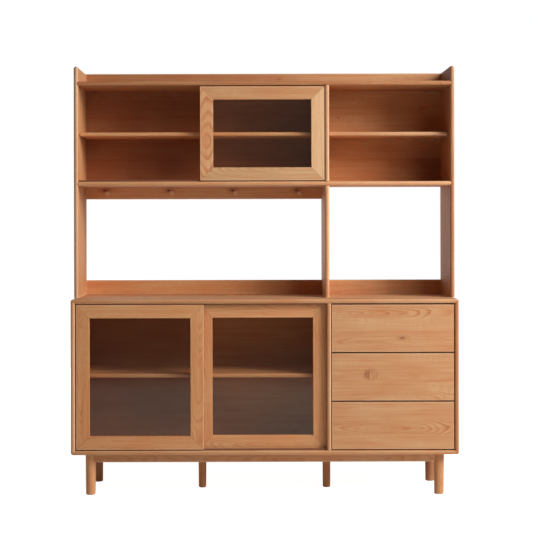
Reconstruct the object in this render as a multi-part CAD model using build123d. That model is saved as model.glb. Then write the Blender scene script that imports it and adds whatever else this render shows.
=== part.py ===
from build123d import *
import os

# Kitchen cabinet: a low case on a leg frame with two sliding glass doors and three drawers,
# and an upper cabinet with shelves, one sliding glass door, an open niche and a peg rail.
# X runs to the right, the front faces -Y, Z is up. The origin is on the floor, at the middle.

# ---- case and leg frame, mm ----
WIDTH = 1600.0              # over the sides of the case
CASE_DEPTH = 400.0
CASE_HEIGHT = 641.0         # underside to worktop
LEG_HEIGHT = 173.0          # floor to the underside of the case
BOARD = 18.0                # thickness of all fixed boards
EDGE_ROUND = 8.0            # rounding of front edges
CORNER_ROUND = 9.0          # rounding of the long mitred corners of the case
DIVIDER_X = 265.0           # centre line of the three dividers
DIVIDER_REVEAL = 1.0        # dividers and shelf noses lie this far behind the front edges
SHELF = 16.0                # thickness of loose shelves
SHELF_EDGE_ROUND = 6.0
SHELF_CORNER_ROUND = 4.0    # plan rounding of the front corners of loose shelves
SHELF_END_GAP = 1.5
SHELF_BACK_GAP = 2.0
BASE_SHELF_SETBACK = 60.0   # behind the front of the case
BASE_SHELF_RISE = 294.0     # clear height under the shelf

# ---- back panels, mm ----
PANEL = 9.0
PANEL_SETBACK = 3.0         # rear face of a panel in front of the rear edges
PANEL_REBATE = 8.0          # how far a panel reaches into the boards around it

# ---- upper cabinet, mm ----
HUTCH_DEPTH = 290.0
NICHE_HEIGHT = 471.0        # worktop to the underside of the lower board
CUPBOARD_HEIGHT = 404.0     # clear height between the lower and the top board
GALLERY_HEIGHT = 60.0       # rear rail above the top board
SIDE_RISE = 3.0             # sides above the rear rail
SIDE_TOP_ROUND = 13.0       # top front corner of the sides
SIDE_EDGE_ROUND = 8.8       # front and top edges of the sides
HOUSING = 5.0               # how far the fixed boards are let into the sides
UPPER_SHELF_SETBACK = 50.0  # behind the front of the upper cabinet
UPPER_SHELF_RISE = 194.0    # clear height under the loose upper shelves
RAIL_BOARD = 18.0           # thickness of backsplash, gallery rail and peg rail
RAIL_ARRIS = 2.0
BACKSPLASH_HEIGHT = 62.0
PEG_RAIL_HEIGHT = 52.0
PEG_RADIUS = 9.0
PEG_REACH = 34.0            # length in front of the peg rail
PEG_NOSE = 3.0              # rounding of the front end
PEG_TENON_RADIUS = 5.0
PEG_TENON = 12.0
PEG_END = 98.0              # first and last peg from the ends of the rail
PEG_COUNT = 4

# ---- sliding doors, mm ----
DOOR_THICK = 20.0
DOOR_ARRIS = 1.5
FRAME_WIDTH = 55.0          # stiles and rails, seen from the front
FRONT_INSET = 4.0           # doors and drawers behind the front of the case
DOOR_PLANE_GAP = 4.0        # between the front and the rear door
DOOR_GAP = 4.0              # above and below every door
DOOR_LEFT_GAP = 4.0         # left door to the side of the case
DOOR_RIGHT_GAP = 1.0        # right door to the divider
DOOR_OVERLAP = 20.0         # of the two closed base doors
UPPER_DOOR_WIDTH = 523.0
UPPER_DOOR_INSET = 5.0      # behind the front of the upper cabinet
UPPER_DOOR_GAP = 2.0        # closed upper door to the divider
GLASS = 4.0
GLASS_SIDE_CLEARANCE = 0.2
GLASS_GROOVE = 9.0          # depth of the groove in the frame
GLASS_TOP_CLEARANCE = 2.0   # pane to the groove bottom at the top and the sides

# ---- door tracks, glides and guide pins, mm ----
TRACK_WIDTH = 10.0
TRACK_INLAY = 3.0           # depth of the strip in the board
RIB_WIDTH = 2.4
RIB_HEIGHT = 7.0            # above the board
DOOR_GROOVE_WIDTH = 8.0     # in the lower edge of a door
DOOR_GROOVE_DEPTH = 8.0
GLIDE_LENGTH = 40.0
GLIDE_CLEARANCE = 0.3
GLIDE_END = 60.0            # glide and guide pin centres from the ends of a door
CHANNEL_WIDTH = 12.0
CHANNEL_DEPTH = 9.0
CHANNEL_WALL = 1.5
GUIDE_PIN_RADIUS = 4.0
GUIDE_PIN_RISE = 5.0        # into the channel
GUIDE_PIN_SEAT = 20.0       # into the door

# ---- drawers and runners, mm ----
DRAWER_COUNT = 3
DRAWER_GAP = 4.0            # between fronts, and above and below them
DRAWER_SIDE_GAP = 2.0
DRAWER_FRONT = 20.0
DRAWER_ARRIS = 1.5
DRAWER_BOARD = 12.0         # sides, back and inner front of the box
DRAWER_BOX_HEIGHT = 140.0
DRAWER_BACK_GAP = 14.0      # drawer box to the back panel
DRAWER_BOX_LIFT = 16.0      # lower edge of the box above that of the front
DRAWER_BOTTOM = 6.0
DRAWER_BOTTOM_LIFT = 10.0   # underside of the bottom above the lower edge of the box
DRAWER_BOTTOM_GROOVE = 6.0
RUNNER_SPACE = 13.0         # box side to cabinet side
RUNNER_HEIGHT = 45.0
RUNNER_STEEL = 1.5
RUNNER_CLEARANCE = 0.5
RUNNER_CHANNEL = 8.0        # depth of the cabinet member
RUNNER_FRONT_GAP = 5.0      # drawer front to the runners
RUNNER_BACK_GAP = 19.0      # runners to the back panel

# ---- legs, aprons, fixings, mm ----
LEG_TOP_RADIUS = 21.5
LEG_FOOT_RADIUS = 20.0
LEG_FOOT_ROUND = 4.0
LEG_INSET_X = 75.5          # corner leg centres inside the sides of the case
LEG_INSET_Y = 62.0
MIDDLE_LEG_Y = 10.0         # behind the middle of the case
MIDDLE_LEG_TOP_RADIUS = 17.0
MIDDLE_LEG_FOOT_RADIUS = 16.0
MIDDLE_LEG_SPIGOT_RADIUS = 7.0
MIDDLE_LEG_SPIGOT = 22.0
APRON_HEIGHT = 38.0
APRON_THICK = 20.0
APRON_ARRIS = 1.5
APRON_TENON = 14.0          # into the leg
APRON_TENON_THICK = 9.0
APRON_TENON_SHOULDER = 7.0  # above and below the tenon
CROSS_RAIL_WIDTH = 44.0
PAD_RADIUS = 13.0
PAD_THICK = 3.0
PAD_SINK = 2.0              # depth of the pad in the foot
BOLT_RADIUS = 3.0
BOLT_HEAD_RADIUS = 6.0
BOLT_HEAD_HEIGHT = 4.0
BOLT_COUNTERBORE = 10.0
BOLT_BITE = 11.0            # into the case bottom
BOLT_SPREAD = 85.0          # bolt centres each side of the middle leg
DOWEL_RADIUS = 4.0
DOWEL_IN_WORKTOP = 12.0
DOWEL_IN_SIDE = 24.0
DOWEL_EDGE = 50.0           # dowel centres from the front and the back of the upper sides
SUPPORT_PIN_RADIUS = 2.5
SUPPORT_PIN_DEPTH = 7.0
SUPPORT_TONGUE_LENGTH = 11.0
SUPPORT_TONGUE_WIDTH = 9.0
SUPPORT_TONGUE_THICK = 3.0
SUPPORT_EDGE = 40.0         # supports from the front and the back edge of a shelf
PIN_CLEARANCE = 0.05        # radial, around pins, dowels and bolts

# ---- planes worked out from the sizes above ----
FRONT = -CASE_DEPTH / 2
BACK = CASE_DEPTH / 2
CASE_LEFT = -WIDTH / 2
CASE_RIGHT = WIDTH / 2
CASE_BASE = LEG_HEIGHT
WORKTOP = LEG_HEIGHT + CASE_HEIGHT
CASE_FLOOR = CASE_BASE + BOARD
CASE_CEILING = WORKTOP - BOARD
CASE_INNER_LEFT = CASE_LEFT + BOARD
CASE_INNER_RIGHT = CASE_RIGHT - BOARD
DIVIDER_LEFT = DIVIDER_X - BOARD / 2
DIVIDER_RIGHT = DIVIDER_X + BOARD / 2
PANEL_REAR = BACK - PANEL_SETBACK
PANEL_FRONT = PANEL_REAR - PANEL

HUTCH_FRONT = BACK - HUTCH_DEPTH
HUTCH_INNER_LEFT = CASE_INNER_LEFT
HUTCH_INNER_RIGHT = CASE_INNER_RIGHT
NICHE_CEILING = WORKTOP + NICHE_HEIGHT
CUPBOARD_FLOOR = NICHE_CEILING + BOARD
CUPBOARD_CEILING = CUPBOARD_FLOOR + CUPBOARD_HEIGHT
TOP_BOARD = CUPBOARD_CEILING + BOARD
RAIL_TOP = TOP_BOARD + GALLERY_HEIGHT
TOP = RAIL_TOP + SIDE_RISE
RAIL_FRONT = BACK - RAIL_BOARD
NOSE_FRONT = HUTCH_FRONT + DIVIDER_REVEAL

FRONT_DOOR_Y = FRONT + FRONT_INSET
REAR_DOOR_Y = FRONT_DOOR_Y + DOOR_THICK + DOOR_PLANE_GAP
UPPER_DOOR_Y = HUTCH_FRONT + UPPER_DOOR_INSET
BASE_OPENING = DIVIDER_LEFT - CASE_INNER_LEFT
BASE_DOOR_WIDTH = (BASE_OPENING - DOOR_LEFT_GAP - DOOR_RIGHT_GAP + DOOR_OVERLAP) / 2
DRAWER_FRONT_HEIGHT = (CASE_CEILING - CASE_FLOOR - DRAWER_GAP * (DRAWER_COUNT + 1)) / DRAWER_COUNT
APRON_BASE = LEG_HEIGHT - APRON_HEIGHT
LEG_X = WIDTH / 2 - LEG_INSET_X
LEG_Y = CASE_DEPTH / 2 - LEG_INSET_Y

os.makedirs("parts", exist_ok=True)


# ---- shared shapes ----
def block(x0, x1, y0, y1, z0, z1):
    """Rectangular solid between two corners."""
    return Pos((x0 + x1) / 2, (y0 + y1) / 2, (z0 + z1) / 2) * Box(x1 - x0, y1 - y0, z1 - z0)


def along_y(outline, y0, y1):
    """Extrude an outline drawn in X and Z from y0 to y1."""
    return extrude(Plane.XZ.offset(-y1) * outline, y1 - y0)


def rod(radius, start, end):
    """Round bar between two points."""
    axis = Vector(*end) - Vector(*start)
    return extrude(Plane(origin=start, z_dir=axis) * Circle(radius), axis.length)


def nosed(board, axis, radius):
    """Round the front edges of a board that run along the given axis."""
    return fillet(board.edges().filter_by(axis).group_by(Axis.Y)[0], radius)


def mitred(frame, x0, x1, z0, z1, wide, y0, y1):
    """Cut a rectangular frame at its corners into bottom, right, top and left pieces."""
    outer = [(x0, z0), (x1, z0), (x1, z1), (x0, z1)]
    inner = [(x0 + wide, z0 + wide), (x1 - wide, z0 + wide),
             (x1 - wide, z1 - wide), (x0 + wide, z1 - wide)]
    pieces = []
    for k in range(4):
        n = (k + 1) % 4
        wedge = Polygon(outer[k], outer[n], inner[n], inner[k], align=None)
        pieces.append(frame & along_y(wedge, y0, y1))
    return pieces


def together(solids):
    """Separate solids kept in one named piece."""
    return Compound(children=list(solids))


# ---- case: mitred ring, divider, back panels, shelf ----
def case_ring():
    """Worktop, sides and bottom in one ring, with every front edge rounded."""
    middle = Pos(0, (CASE_BASE + WORKTOP) / 2)
    outline = middle * RectangleRounded(WIDTH, CASE_HEIGHT, CORNER_ROUND)
    outline -= middle * Rectangle(WIDTH - 2 * BOARD, CASE_HEIGHT - 2 * BOARD)
    ring = along_y(outline, FRONT, BACK)
    return fillet(ring.edges().group_by(Axis.Y)[0], EDGE_ROUND)


def panel_box(x0, x1, z0, z1, rear):
    """Space of a back panel that reaches into the boards around it."""
    return block(x0 - PANEL_REBATE, x1 + PANEL_REBATE, PANEL_FRONT, rear,
                 z0 - PANEL_REBATE, z1 + PANEL_REBATE)


def case_back_panels():
    """Two panels that meet behind the divider."""
    whole = panel_box(CASE_INNER_LEFT, CASE_INNER_RIGHT, CASE_FLOOR, CASE_CEILING, PANEL_REAR)
    halves = [block(CASE_LEFT, DIVIDER_X, FRONT, BACK, CASE_BASE, WORKTOP),
              block(DIVIDER_X, CASE_RIGHT, FRONT, BACK, CASE_BASE, WORKTOP)]
    return together(whole & half for half in halves)


def loose_shelf(x0, x1, y0, top):
    """Shelf with a rounded nose and rounded front corners."""
    board = block(x0 + SHELF_END_GAP, x1 - SHELF_END_GAP, y0, PANEL_FRONT - SHELF_BACK_GAP,
                  top - SHELF, top)
    board = fillet(board.edges().filter_by(Axis.Z).group_by(Axis.Y)[0], SHELF_CORNER_ROUND)
    front = board.faces().sort_by(Axis.Y)[0]
    return fillet(front.edges().filter_by(Axis.X), SHELF_EDGE_ROUND)


# ---- shelf supports ----
def support_points(x0, x1, y0, underside):
    """Wall, direction into the compartment, depth and height of the four supports of a shelf."""
    rows = (y0 + SUPPORT_EDGE, PANEL_FRONT - SHELF_BACK_GAP - SUPPORT_EDGE)
    return [(wall, inward, y, underside) for wall, inward in ((x0, 1), (x1, -1)) for y in rows]


def support_pin(wall, inward, y, underside, clearance=0.0):
    """Round shank of a support, in its wall."""
    z = underside - SUPPORT_TONGUE_THICK / 2
    depth = SUPPORT_PIN_DEPTH + clearance
    return rod(SUPPORT_PIN_RADIUS + clearance, (wall, y, z), (wall - inward * depth, y, z))


def support(wall, inward, y, underside):
    """Steel spade support: shank and flat tongue under the shelf."""
    ends = sorted((wall, wall + inward * SUPPORT_TONGUE_LENGTH))
    tongue = block(ends[0], ends[1], y - SUPPORT_TONGUE_WIDTH / 2, y + SUPPORT_TONGUE_WIDTH / 2,
                   underside - SUPPORT_TONGUE_THICK, underside)
    return tongue + support_pin(wall, inward, y, underside)


# ---- door tracks ----
def track(x0, x1, door_y, floor):
    """Inlaid strip with a raised rib, under the middle of a door."""
    y = door_y + DOOR_THICK / 2
    strip = block(x0, x1, y - TRACK_WIDTH / 2, y + TRACK_WIDTH / 2, floor - TRACK_INLAY, floor)
    return strip + block(x0, x1, y - RIB_WIDTH / 2, y + RIB_WIDTH / 2, floor, floor + RIB_HEIGHT)


def channel_space(x0, x1, door_y, ceiling):
    """Groove for a guide channel, above the middle of a door."""
    y = door_y + DOOR_THICK / 2
    return block(x0, x1, y - CHANNEL_WIDTH / 2, y + CHANNEL_WIDTH / 2,
                 ceiling, ceiling + CHANNEL_DEPTH)


def channel(x0, x1, door_y, ceiling):
    """Guide channel, open downwards."""
    y = door_y + DOOR_THICK / 2
    slot = CHANNEL_WIDTH / 2 - CHANNEL_WALL
    return channel_space(x0, x1, door_y, ceiling) - block(
        x0, x1, y - slot, y + slot, ceiling, ceiling + CHANNEL_DEPTH - CHANNEL_WALL)


# ---- sliding doors ----
def door(x0, door_width, door_y, floor, ceiling):
    """Stiles, rails, pane and glides of one framed glass door."""
    x1 = x0 + door_width
    z0 = floor + DOOR_GAP
    z1 = ceiling - DOOR_GAP
    rear = door_y + DOOR_THICK
    middle = door_y + DOOR_THICK / 2
    frame = block(x0, x1, door_y, rear, z0, z1)
    sight = [x0 + FRAME_WIDTH, x1 - FRAME_WIDTH, z0 + FRAME_WIDTH, z1 - FRAME_WIDTH]
    frame -= block(sight[0], sight[1], door_y, rear, sight[2], sight[3])
    faces = frame.edges().group_by(Axis.Y)
    frame = fillet(faces[0] + faces[-1], DOOR_ARRIS)
    groove = GLASS / 2 + GLASS_SIDE_CLEARANCE
    frame -= block(sight[0] - GLASS_GROOVE, sight[1] + GLASS_GROOVE, middle - groove,
                   middle + groove, sight[2] - GLASS_GROOVE, sight[3] + GLASS_GROOVE)
    side_reach = GLASS_GROOVE - GLASS_TOP_CLEARANCE
    glass = block(sight[0] - side_reach, sight[1] + side_reach, middle - GLASS / 2,
                  middle + GLASS / 2, sight[2] - GLASS_GROOVE, sight[3] + side_reach)
    frame -= block(x0, x1, middle - DOOR_GROOVE_WIDTH / 2, middle + DOOR_GROOVE_WIDTH / 2,
                   z0, z0 + DOOR_GROOVE_DEPTH)
    glides = []
    slot = RIB_WIDTH / 2 + GLIDE_CLEARANCE
    for x in (x0 + GLIDE_END, x1 - GLIDE_END):
        shoe = block(x - GLIDE_LENGTH / 2, x + GLIDE_LENGTH / 2, middle - DOOR_GROOVE_WIDTH / 2,
                     middle + DOOR_GROOVE_WIDTH / 2, z0, z0 + DOOR_GROOVE_DEPTH)
        glides.append(shoe - block(x0, x1, middle - slot, middle + slot, z0,
                                   floor + RIB_HEIGHT + GLIDE_CLEARANCE))
        seat = z1 - GUIDE_PIN_SEAT
        frame -= rod(GUIDE_PIN_RADIUS + PIN_CLEARANCE, (x, middle, seat), (x, middle, z1))
        glides.append(rod(GUIDE_PIN_RADIUS, (x, middle, seat),
                          (x, middle, ceiling + GUIDE_PIN_RISE)))
    bottom, right, top, left = mitred(frame, x0, x1, z0, z1, FRAME_WIDTH, door_y, rear)
    return {"stiles": together([left, right]), "rails": together([bottom, top]),
            "glass": glass, "glides": together(glides)}


# ---- drawers ----
def drawer(floor):
    """Front, box, bottom and runner members of one drawer whose front starts at floor."""
    back_of_front = FRONT_DOOR_Y + DRAWER_FRONT
    front = block(DIVIDER_RIGHT + DRAWER_SIDE_GAP, CASE_INNER_RIGHT - DRAWER_SIDE_GAP,
                  FRONT_DOOR_Y, back_of_front, floor, floor + DRAWER_FRONT_HEIGHT)
    front = fillet(front.edges().group_by(Axis.Y)[0], DRAWER_ARRIS)
    x0 = DIVIDER_RIGHT + RUNNER_SPACE
    x1 = CASE_INNER_RIGHT - RUNNER_SPACE
    y1 = PANEL_FRONT - DRAWER_BACK_GAP
    z0 = floor + DRAWER_BOX_LIFT
    z1 = z0 + DRAWER_BOX_HEIGHT
    inner = [x0 + DRAWER_BOARD, x1 - DRAWER_BOARD, back_of_front + DRAWER_BOARD,
             y1 - DRAWER_BOARD]
    boards = [block(x0, inner[0], back_of_front, y1, z0, z1),
              block(inner[1], x1, back_of_front, y1, z0, z1),
              block(inner[0], inner[1], back_of_front, inner[2], z0, z1),
              block(inner[0], inner[1], inner[3], y1, z0, z1)]
    base = z0 + DRAWER_BOTTOM_LIFT
    bottom = block(inner[0] - DRAWER_BOTTOM_GROOVE, inner[1] + DRAWER_BOTTOM_GROOVE,
                   inner[2] - DRAWER_BOTTOM_GROOVE, inner[3] + DRAWER_BOTTOM_GROOVE,
                   base, base + DRAWER_BOTTOM)
    box = together(board - bottom for board in boards)
    middle = (z0 + z1) / 2
    reach = RUNNER_SPACE - RUNNER_STEEL - RUNNER_CLEARANCE
    half = RUNNER_HEIGHT / 2 - RUNNER_STEEL - RUNNER_CLEARANCE
    runners = [runner_member(x0, -1, reach, half, middle), runner_member(x1, 1, reach, half, middle)]
    return {"front": front, "box": box, "bottom": bottom, "runners": together(runners)}


def runner_member(wall, outward, depth, half_height, middle):
    """Steel channel on a wall, open away from it."""
    y0 = FRONT_DOOR_Y + DRAWER_FRONT + RUNNER_FRONT_GAP
    y1 = PANEL_FRONT - RUNNER_BACK_GAP
    outer = sorted((wall, wall + outward * depth))
    hollow = sorted((wall + outward * RUNNER_STEEL, wall + outward * depth))
    inside = half_height - RUNNER_STEEL
    member = block(outer[0], outer[1], y0, y1, middle - half_height, middle + half_height)
    return member - block(hollow[0], hollow[1], y0, y1, middle - inside, middle + inside)


def drawer_floors():
    """Lower edges of the drawer fronts, from the top drawer down."""
    pitch = DRAWER_FRONT_HEIGHT + DRAWER_GAP
    return [CASE_CEILING - pitch * (k + 1) for k in range(DRAWER_COUNT)]


def cabinet_runners():
    """Members on the divider and on the right side, two for each drawer."""
    members = []
    for floor in drawer_floors():
        middle = floor + DRAWER_BOX_LIFT + DRAWER_BOX_HEIGHT / 2
        for wall, outward in ((DIVIDER_RIGHT, 1), (CASE_INNER_RIGHT, -1)):
            members.append(runner_member(wall, outward, RUNNER_CHANNEL, RUNNER_HEIGHT / 2, middle))
    return together(members)


# ---- leg frame ----
def leg(x, y, foot_radius, top_radius, height):
    """Tapered round leg with a rounded foot and a pocket for its pad."""
    turned = Pos(x, y, height / 2) * Cone(foot_radius, top_radius, height)
    turned = fillet(turned.edges().sort_by(Axis.Z)[0], LEG_FOOT_ROUND)
    base = PAD_THICK - PAD_SINK
    turned = Pos(0, 0, base) * turned & block(x - top_radius, x + top_radius, y - top_radius,
                                              y + top_radius, 0, height)
    return turned - pad(x, y)


def pad(x, y):
    """Felt pad let into a foot."""
    return rod(PAD_RADIUS, (x, y, 0), (x, y, PAD_THICK))


def apron_box(x0, x1, y0, y1):
    """Apron under the case between two legs, with eased lower edges."""
    rail = block(x0, x1, y0, y1, APRON_BASE, LEG_HEIGHT)
    long_way = Axis.X if x1 - x0 > y1 - y0 else Axis.Y
    return fillet(rail.edges().filter_by(long_way).group_by(Axis.Z)[0], APRON_ARRIS)


def leg_frame():
    """Corner legs, aprons with tenons, cross rails, middle legs and pads."""
    spots = {"front_left": (-LEG_X, -LEG_Y), "front_right": (LEG_X, -LEG_Y),
             "back_left": (-LEG_X, LEG_Y), "back_right": (LEG_X, LEG_Y)}
    legs = {name: leg(x, y, LEG_FOOT_RADIUS, LEG_TOP_RADIUS, LEG_HEIGHT)
            for name, (x, y) in spots.items()}
    posts = [leg_post(x, y) for x, y in spots.values()]
    half = APRON_THICK / 2
    tenon_half = APRON_TENON_THICK / 2
    tenon_low = APRON_BASE + APRON_TENON_SHOULDER
    tenon_high = LEG_HEIGHT - APRON_TENON_SHOULDER
    shoulder_x = LEG_X - LEG_TOP_RADIUS + APRON_TENON
    shoulder_y = LEG_Y - LEG_TOP_RADIUS + APRON_TENON
    aprons = {}
    tenons = []
    for name, side in (("front", -1), ("back", 1)):
        y = side * LEG_Y
        tenon = block(-shoulder_x, shoulder_x, y - tenon_half, y + tenon_half, tenon_low, tenon_high)
        body = apron_box(-LEG_X, LEG_X, y - half, y + half)
        aprons[name] = (body, tenon)
        tenons.append(tenon)
    for name, side in (("left", -1), ("right", 1)):
        x = side * LEG_X
        # the side tenons stop short of the long ones that enter the same leg
        end = LEG_Y - tenon_half - PIN_CLEARANCE
        end = min(end, shoulder_y)
        tenon = block(x - tenon_half, x + tenon_half, -end, end, tenon_low, tenon_high)
        body = apron_box(x - half, x + half, -LEG_Y, LEG_Y)
        aprons[name] = (body, tenon)
        tenons.append(tenon)
    pieces = {}
    for name, (body, tenon) in aprons.items():
        for post in posts:
            body -= post
        pieces["apron_" + name] = body + tenon
    pieces["side_aprons"] = together([pieces.pop("apron_left"), pieces.pop("apron_right")])
    for name, turned in legs.items():
        for tenon in tenons:
            turned -= tenon
        pieces["leg_" + name] = turned
    rails = []
    middle_legs = []
    for side in (-1, 1):
        x = side * DIVIDER_X
        reach = LEG_Y - half
        rail = block(x - CROSS_RAIL_WIDTH / 2, x + CROSS_RAIL_WIDTH / 2, -reach, reach,
                     APRON_BASE, LEG_HEIGHT)
        spigot_top = APRON_BASE + MIDDLE_LEG_SPIGOT
        rail -= rod(MIDDLE_LEG_SPIGOT_RADIUS + PIN_CLEARANCE, (x, MIDDLE_LEG_Y, APRON_BASE),
                    (x, MIDDLE_LEG_Y, spigot_top + PIN_CLEARANCE))
        for y in (-BOLT_SPREAD, BOLT_SPREAD):
            rail -= bolt(x, y, PIN_CLEARANCE)
            rail -= rod(BOLT_HEAD_RADIUS + PIN_CLEARANCE, (x, y, APRON_BASE),
                        (x, y, APRON_BASE + BOLT_COUNTERBORE))
        rails.append(rail)
        foot = leg(x, MIDDLE_LEG_Y, MIDDLE_LEG_FOOT_RADIUS, MIDDLE_LEG_TOP_RADIUS, APRON_BASE)
        middle_legs.append(foot + rod(MIDDLE_LEG_SPIGOT_RADIUS, (x, MIDDLE_LEG_Y, APRON_BASE),
                                      (x, MIDDLE_LEG_Y, spigot_top)))
    pieces["cross_rails"] = together(rails)
    pieces["middle_legs"] = together(middle_legs)
    feet = list(spots.values()) + [(side * DIVIDER_X, MIDDLE_LEG_Y) for side in (-1, 1)]
    pieces["foot_pads"] = together(pad(x, y) for x, y in feet)
    return pieces


def leg_post(x, y):
    """Full height body of a corner leg, used to cope the aprons to it."""
    base = PAD_THICK - PAD_SINK
    return Pos(x, y, LEG_HEIGHT / 2 + base) * Cone(LEG_FOOT_RADIUS, LEG_TOP_RADIUS, LEG_HEIGHT)


# ---- bolts and dowels ----
def bolt(x, y, clearance=0.0):
    """Bolt through a cross rail into the case bottom."""
    head_top = APRON_BASE + BOLT_COUNTERBORE
    shank = rod(BOLT_RADIUS + clearance, (x, y, head_top), (x, y, LEG_HEIGHT + BOLT_BITE + clearance))
    head = rod(BOLT_HEAD_RADIUS + clearance, (x, y, head_top - BOLT_HEAD_HEIGHT), (x, y, head_top))
    return shank + head


def bolt_points():
    """Centres of the four bolts."""
    return [(side * DIVIDER_X, y) for side in (-1, 1) for y in (-BOLT_SPREAD, BOLT_SPREAD)]


def dowel(x, y, clearance=0.0):
    """Dowel between the worktop and an upright of the upper cabinet."""
    return rod(DOWEL_RADIUS + clearance, (x, y, WORKTOP - DOWEL_IN_WORKTOP - clearance),
               (x, y, WORKTOP + DOWEL_IN_SIDE + clearance))


def dowel_points(x):
    """Dowel centres of one upright."""
    return [(x, HUTCH_FRONT + DOWEL_EDGE), (x, BACK - DOWEL_EDGE)]


# ---- upper cabinet ----
def hutch_side(x0, x1):
    """Side with a rounded top front corner and rounded front and top edges."""
    profile = Plane.YZ.offset(x0) * Pos((HUTCH_FRONT + BACK) / 2, (WORKTOP + TOP) / 2) * Rectangle(
        HUTCH_DEPTH, TOP - WORKTOP)
    board = extrude(profile, x1 - x0)
    front_top = board.edges().filter_by(Axis.X).group_by(Axis.Y)[0].sort_by(Axis.Z)[-1]
    board = fillet(front_top, SIDE_TOP_ROUND)
    flat_ends = board.faces().filter_by(Axis.X)
    rounded = [edge for face in flat_ends for edge in face.edges()
               if edge.center().Z > WORKTOP + BOARD and edge.center().Y < BACK - PANEL_SETBACK]
    return fillet(rounded, SIDE_EDGE_ROUND)


def hutch_board(z0):
    """Fixed board let into both sides, with a rounded nose."""
    board = block(HUTCH_INNER_LEFT - HOUSING, HUTCH_INNER_RIGHT + HOUSING, NOSE_FRONT, BACK,
                  z0, z0 + BOARD)
    return nosed(board, Axis.X, EDGE_ROUND)


def rail_board(x0, x1, z0, z1):
    """Upright board at the back, with eased front edges."""
    board = block(x0, x1, RAIL_FRONT, BACK, z0, z1)
    return nosed(board, Axis.X, RAIL_ARRIS)


def upright(y1, z0, z1):
    """Divider with rounded front edges."""
    board = block(DIVIDER_LEFT, DIVIDER_RIGHT, NOSE_FRONT, y1, z0, z1)
    return nosed(board, Axis.Z, EDGE_ROUND)


def pegs_and_rail():
    """Peg rail with four turned pegs."""
    x0 = HUTCH_INNER_LEFT
    x1 = DIVIDER_LEFT
    rail = rail_board(x0, x1, NICHE_CEILING - PEG_RAIL_HEIGHT, NICHE_CEILING)
    z = NICHE_CEILING - PEG_RAIL_HEIGHT / 2
    spacing = (x1 - x0 - 2 * PEG_END) / (PEG_COUNT - 1)
    pegs = []
    for k in range(PEG_COUNT):
        x = x0 + PEG_END + k * spacing
        head = rod(PEG_RADIUS, (x, RAIL_FRONT, z), (x, RAIL_FRONT - PEG_REACH, z))
        head = fillet(head.edges().sort_by(Axis.Y)[0], PEG_NOSE)
        pegs.append(head + rod(PEG_TENON_RADIUS, (x, RAIL_FRONT, z), (x, RAIL_FRONT + PEG_TENON, z)))
        rail -= rod(PEG_TENON_RADIUS + PIN_CLEARANCE, (x, RAIL_FRONT, z),
                    (x, RAIL_FRONT + PEG_TENON + PIN_CLEARANCE, z))
    return rail, together(pegs)


# ---- assembly ----
pieces = leg_frame()

bottom, right, top, left = mitred(case_ring(), CASE_LEFT, CASE_RIGHT, CASE_BASE, WORKTOP, BOARD,
                                  FRONT, BACK)
case_rebate = panel_box(CASE_INNER_LEFT, CASE_INNER_RIGHT, CASE_FLOOR, CASE_CEILING, BACK)
bottom -= case_rebate
right -= case_rebate
top -= case_rebate
left -= case_rebate
divider = nosed(block(DIVIDER_LEFT, DIVIDER_RIGHT, FRONT + DIVIDER_REVEAL, PANEL_FRONT,
                      CASE_FLOOR, CASE_CEILING), Axis.Z, EDGE_ROUND)

for x, y in bolt_points():
    bottom -= bolt(x, y, PIN_CLEARANCE)
pieces["frame_bolts"] = together(bolt(x, y) for x, y in bolt_points())

base_tracks = []
for door_y in (FRONT_DOOR_Y, REAR_DOOR_Y):
    low = track(CASE_INNER_LEFT, DIVIDER_LEFT, door_y, CASE_FLOOR)
    bottom -= low
    top -= channel_space(CASE_INNER_LEFT, DIVIDER_LEFT, door_y, CASE_CEILING)
    base_tracks += [low, channel(CASE_INNER_LEFT, DIVIDER_LEFT, door_y, CASE_CEILING)]
pieces["base_door_tracks"] = together(base_tracks)

base_shelf_y = FRONT + BASE_SHELF_SETBACK
base_shelf_under = CASE_FLOOR + BASE_SHELF_RISE
supports = []
for spot in support_points(CASE_INNER_LEFT, DIVIDER_LEFT, base_shelf_y, base_shelf_under):
    supports.append(support(*spot))
    left -= support_pin(*spot, PIN_CLEARANCE)
    divider -= support_pin(*spot, PIN_CLEARANCE)
pieces["base_shelf"] = loose_shelf(CASE_INNER_LEFT, DIVIDER_LEFT, base_shelf_y,
                                   base_shelf_under + SHELF)
pieces["case_back_panels"] = case_back_panels()
pieces["cabinet_runners"] = cabinet_runners()

side_left = hutch_side(CASE_LEFT, HUTCH_INNER_LEFT)
side_right = hutch_side(HUTCH_INNER_RIGHT, CASE_RIGHT)
niche_divider = upright(BACK, WORKTOP, NICHE_CEILING)
upper_divider = upright(PANEL_FRONT, CUPBOARD_FLOOR, CUPBOARD_CEILING)
lower_board = hutch_board(NICHE_CEILING)
top_board = hutch_board(CUPBOARD_CEILING)
backsplash = rail_board(HUTCH_INNER_LEFT, HUTCH_INNER_RIGHT, WORKTOP, WORKTOP + BACKSPLASH_HEIGHT)
side_left = side_left - lower_board - top_board
side_right = side_right - lower_board - top_board
niche_divider -= backsplash

hutch_rebate = panel_box(HUTCH_INNER_LEFT, HUTCH_INNER_RIGHT, CUPBOARD_FLOOR, CUPBOARD_CEILING, BACK)
side_left -= hutch_rebate
side_right -= hutch_rebate
lower_board -= hutch_rebate
top_board -= hutch_rebate
pieces["hutch_back"] = panel_box(HUTCH_INNER_LEFT, HUTCH_INNER_RIGHT, CUPBOARD_FLOOR,
                                 CUPBOARD_CEILING, PANEL_REAR)

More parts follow.
